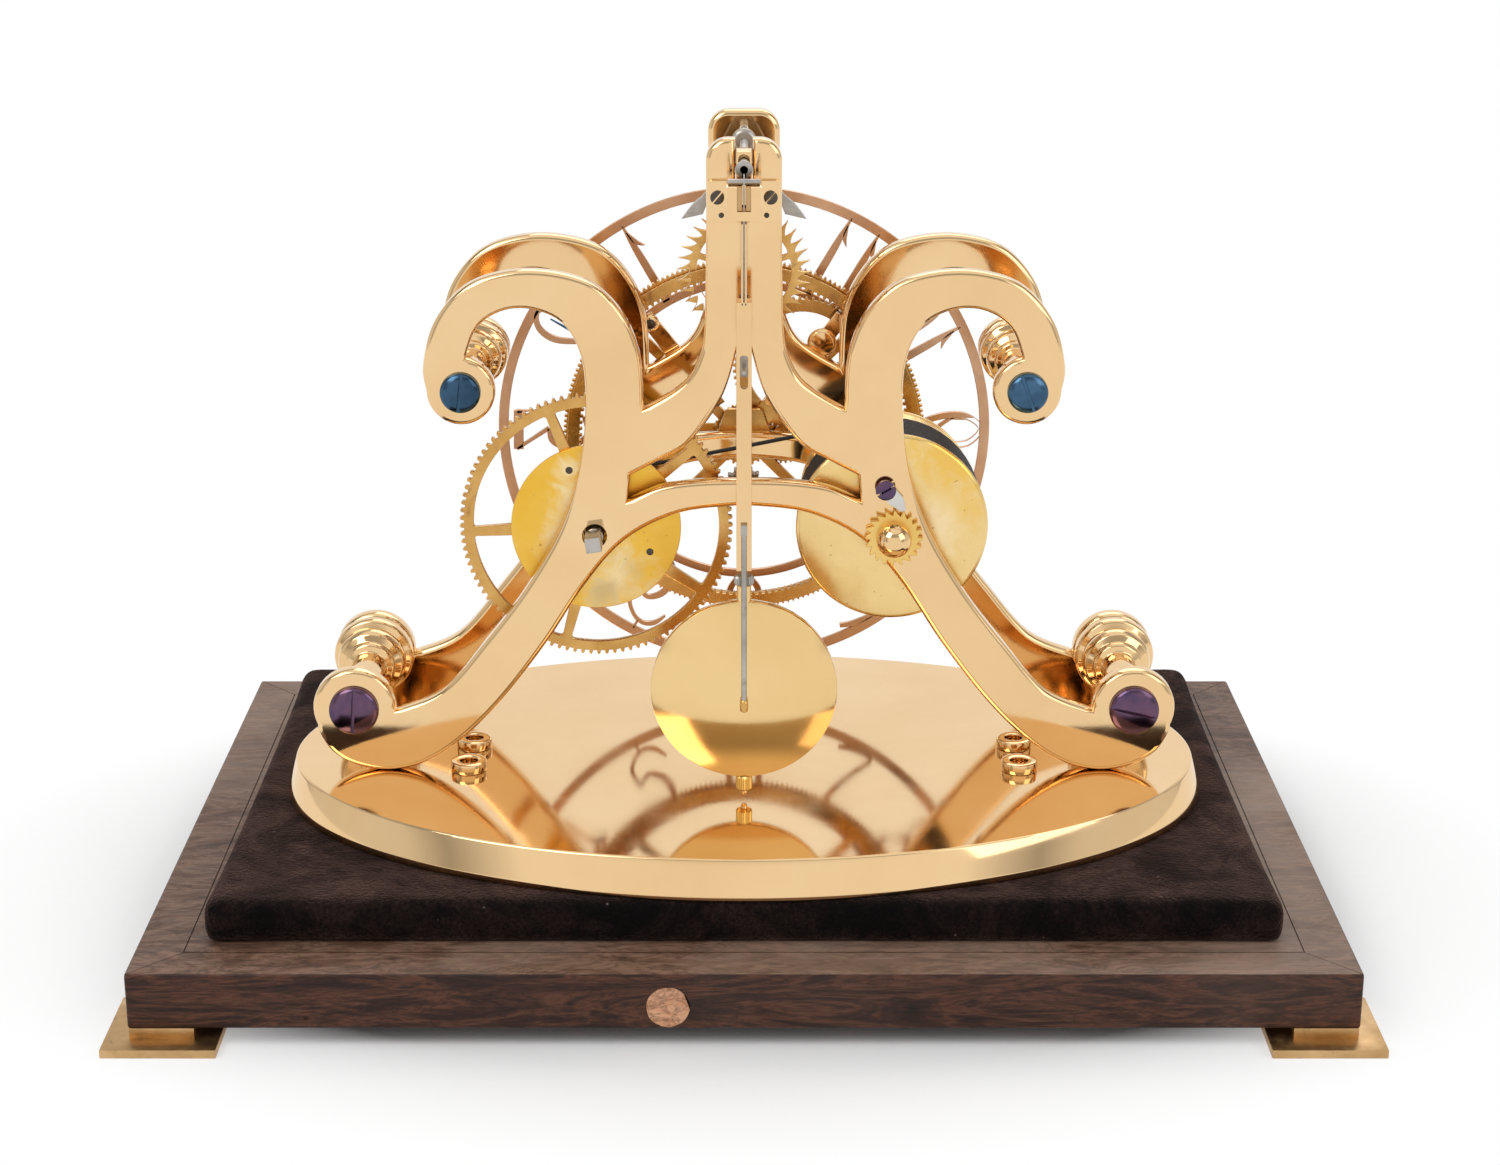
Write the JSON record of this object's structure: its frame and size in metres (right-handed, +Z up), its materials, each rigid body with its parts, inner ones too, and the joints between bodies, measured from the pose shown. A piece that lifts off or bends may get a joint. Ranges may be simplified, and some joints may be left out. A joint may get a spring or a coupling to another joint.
{
  "type": "skeleton clock",
  "caption": "Skeleton clock with scroll plates, a fusee train, an epicyclic wheel behind an open chapter ring and a short pendulum, on an oval base, velvet pad and wooden plinth",
  "frame": {"origin": "Centre of the bounding box at the underside of the four feet, Z = 0 where the clock stands.", "axes": "+X right as seen from the pendulum side, +Y from the pendulum side towards the dial, +Z up."},
  "size_m": [0.343, 0.236, 0.2296],
  "materials": {
    "polished_brass": "mirror polished",
    "gilt_brass": "satin gilt",
    "wheel_brass": "polished, slightly aged",
    "rose_brass": "aged rose tone",
    "aged_brass": "dull, aged",
    "blued_steel": "blued and polished",
    "grey_steel": "grained",
    "rosewood": "dark polished veneer",
    "velvet": "dark brown velvet",
    "black_line": "waxed black line"
  },
  "bodies": {
    "base": {"foot_rear_left": "aged_brass", "foot_dial_left": "aged_brass", "foot_rear_right": "aged_brass", "foot_dial_right": "aged_brass", "plinth": "rosewood", "velvet_pad": "velvet", "oval_base": "polished_brass", "seat_post_rear_left": "polished_brass", "seat_post_inner_left": "polished_brass", "seat_post_rear_right": "polished_brass", "seat_post_inner_right": "polished_brass", "rear_plate": "polished_brass", "front_plate": "polished_brass", "pillar_upper_left": "polished_brass", "pillar_upper_right": "polished_brass", "pillar_lower_left": "polished_brass", "pillar_lower_right": "polished_brass", "screw_upper_left": "blued_steel", "screw_upper_right": "blued_steel", "screw_lower_left": "blued_steel", "screw_lower_right": "blued_steel", "click_screw": "blued_steel", "fusee_line": "black_line", "centre_bridge": "wheel_brass", "annulus": "wheel_brass", "back_cock": "polished_brass", "cock_screw_left": "blued_steel", "cock_screw_right": "blued_steel", "cross_pin": "grey_steel", "chapter_ring": "rose_brass", "dial_bar": "wheel_brass"},
    "great_wheel": {"great_wheel": "wheel_brass", "great_wheel_cap": "gilt_brass"},
    "fusee": {"fusee": "gilt_brass", "fusee_arbor": "grey_steel"},
    "barrel": {"barrel": "gilt_brass"},
    "setup_arbor": {"barrel_arbor": "grey_steel", "ratchet_wheel": "gilt_brass", "dome_nut": "polished_brass"},
    "click": {"click": "grey_steel"},
    "centre": {"centre_arbor": "grey_steel", "planet_arm": "wheel_brass", "cannon_pinion": "grey_steel", "minute_hand": "blued_steel"},
    "planet": {"planet_wheel": "wheel_brass"},
    "ring_wheel": {"ring_wheel": "wheel_brass"},
    "escape": {"escape_wheel": "wheel_brass", "escape_arbor": "grey_steel"},
    "minute_wheel": {"minute_wheel": "wheel_brass"},
    "hour": {"hour_wheel": "wheel_brass", "hour_hand": "blued_steel"},
    "pallets": {"anchor": "grey_steel", "pallet_arbor": "grey_steel", "crutch": "grey_steel"},
    "pendulum": {"suspension_spring": "grey_steel", "pendulum_rod": "polished_brass", "rod_collar": "grey_steel", "bob": "polished_brass", "guard_rod": "grey_steel"},
    "rating_nut": {"rating_nut": "gilt_brass"}
  },
  "joints": [
    {"name": "ring_wheel_spin", "type": "hinge", "parent": "base", "child": "ring_wheel", "pos_m": [0, 0.0378, 0.12855], "axis": [0, 1, 0], "continuous": true},
    {"name": "centre_spin", "type": "hinge", "parent": "base", "child": "centre", "pos_m": [0, 0, 0.12855], "axis": [0, 1, 0], "continuous": true},
    {"name": "planet_spin", "type": "hinge", "parent": "centre", "child": "planet", "pos_m": [0.01734, 0.0354, 0.15156], "axis": [0, 1, 0], "continuous": true},
    {"name": "great_wheel_spin", "type": "hinge", "parent": "base", "child": "great_wheel", "pos_m": [-0.0425, -0.0145, 0.11655], "axis": [0, 1, 0], "continuous": true},
    {"name": "escape_spin", "type": "hinge", "parent": "base", "child": "escape", "pos_m": [0, 0.008, 0.18612], "axis": [0, 1, 0], "continuous": true},
    {"name": "minute_wheel_spin", "type": "hinge", "parent": "base", "child": "minute_wheel", "pos_m": [0.012, 0.04, 0.12855], "axis": [0, 1, 0], "continuous": true},
    {"name": "hour_spin", "type": "hinge", "parent": "base", "child": "hour", "pos_m": [0, 0.0418, 0.12855], "axis": [0, 1, 0], "continuous": true},
    {"name": "fusee_wind", "type": "hinge", "parent": "great_wheel", "child": "fusee", "pos_m": [-0.0425, 0, 0.11655], "axis": [0, 1, 0], "range_deg": [-240, 1080]},
    {"name": "barrel_spin", "type": "hinge", "parent": "base", "child": "barrel", "pos_m": [0.0425, 0, 0.11655], "axis": [0, 1, 0], "range_deg": [-120, 510]},
    {"name": "setup_arbor_turn", "type": "hinge", "parent": "base", "child": "setup_arbor", "pos_m": [0.0425, -0.026, 0.11655], "axis": [0, 1, 0], "range_deg": [-360, 360]},
    {"name": "click_lift", "type": "hinge", "parent": "base", "child": "click", "pos_m": [0.04, -0.0265, 0.13075], "axis": [0, 1, 0], "range_deg": [-25, 0], "stiffness_Nm_per_rad": 0.002},
    {"name": "pendulum_swing", "type": "hinge", "parent": "base", "child": "pendulum", "pos_m": [0, -0.046, 0.21705], "axis": [0, 1, 0], "range_deg": [-2, 2]},
    {"name": "pallets_rock", "type": "hinge", "parent": "base", "child": "pallets", "pos_m": [0, 0, 0.22355], "axis": [0, 1, 0], "range_deg": [-1.8, 1.8]},
    {"name": "rating_nut_turn", "type": "hinge", "parent": "pendulum", "child": "rating_nut", "pos_m": [0, -0.046, 0.05], "axis": [0, 0, 1], "continuous": true}
  ],
  "couplings": [
    {"joint": "centre_spin", "follows": "ring_wheel_spin", "ratio": 0.14286},
    {"joint": "planet_spin", "follows": "ring_wheel_spin", "ratio": -0.34286},
    {"joint": "great_wheel_spin", "follows": "ring_wheel_spin", "ratio": -0.019231},
    {"joint": "escape_spin", "follows": "ring_wheel_spin", "ratio": -19.091},
    {"joint": "minute_wheel_spin", "follows": "ring_wheel_spin", "ratio": -0.047619},
    {"joint": "hour_spin", "follows": "ring_wheel_spin", "ratio": 0.011905},
    {"joint": "barrel_spin", "follows": "fusee_wind", "ratio": 0.464},
    {"joint": "pallets_rock", "follows": "pendulum_swing", "ratio": 0.8796}
  ]
}
